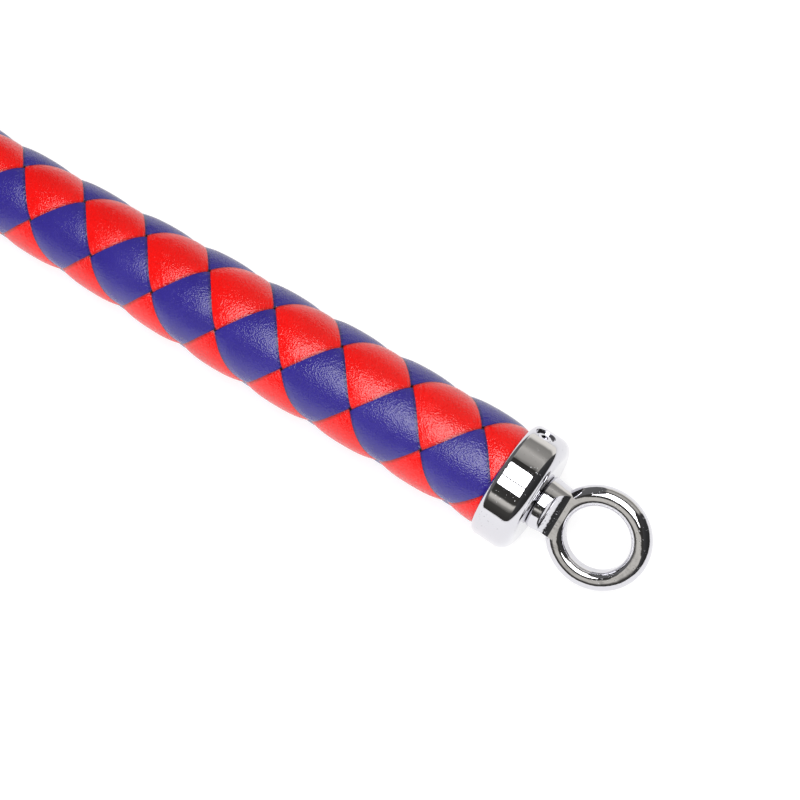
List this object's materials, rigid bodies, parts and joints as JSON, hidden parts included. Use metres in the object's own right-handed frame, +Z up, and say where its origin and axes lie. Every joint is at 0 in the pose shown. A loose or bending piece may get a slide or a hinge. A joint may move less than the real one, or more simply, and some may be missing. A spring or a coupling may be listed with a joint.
{
  "type": "barrier rope",
  "caption": "Braided leather barrier rope with a plated end cap and a swivelling ring eye at each end, folded once and tied.",
  "frame": {"origin": "on the floor under the middle of the whole outline, with the rope laid out and folded once", "axes": "+X along the rope's free end, towards its eye; +Z up"},
  "size_m": [0.8176, 0.292, 0.0451],
  "materials": {
    "red_leather": "semi-gloss, fine grain",
    "blue_leather": "semi-gloss, fine grain",
    "chrome": "polished",
    "steel": "zinc plated",
    "nylon": "natural nylon",
    "core_yarn": "raw jute",
    "plug_wood": "turned, unfinished",
    "binding_tape": "woven tape",
    "tie_webbing": "woven webbing"
  },
  "bodies": {
    "rope": {"braided_cover": "red_leather", "rope_core": "core_yarn", "end_cap_a": "chrome", "set_screw_a": "steel", "end_plug_a": "plug_wood", "end_binding_a": "binding_tape", "end_cap_b": "chrome", "set_screw_b": "steel", "end_plug_b": "plug_wood", "end_binding_b": "binding_tape", "tie_strap": "tie_webbing", "tie_buckle": "steel"},
    "swivel_a": {"eye_a": "chrome", "lock_nut_a": "steel", "thrust_washer_a": "nylon"},
    "swivel_b": {"eye_b": "chrome", "lock_nut_b": "steel", "thrust_washer_b": "nylon"}
  },
  "joints": [
    {"name": "eye_swivel_a", "type": "hinge", "parent": "rope", "child": "swivel_a", "pos_m": [0.366, 0.034, 0.0225], "axis": [1, 0, 0], "continuous": true},
    {"name": "eye_swivel_b", "type": "hinge", "parent": "rope", "child": "swivel_b", "pos_m": [0.066, -0.0234, 0.0225], "axis": [1, 0, 0], "continuous": true}
  ]
}
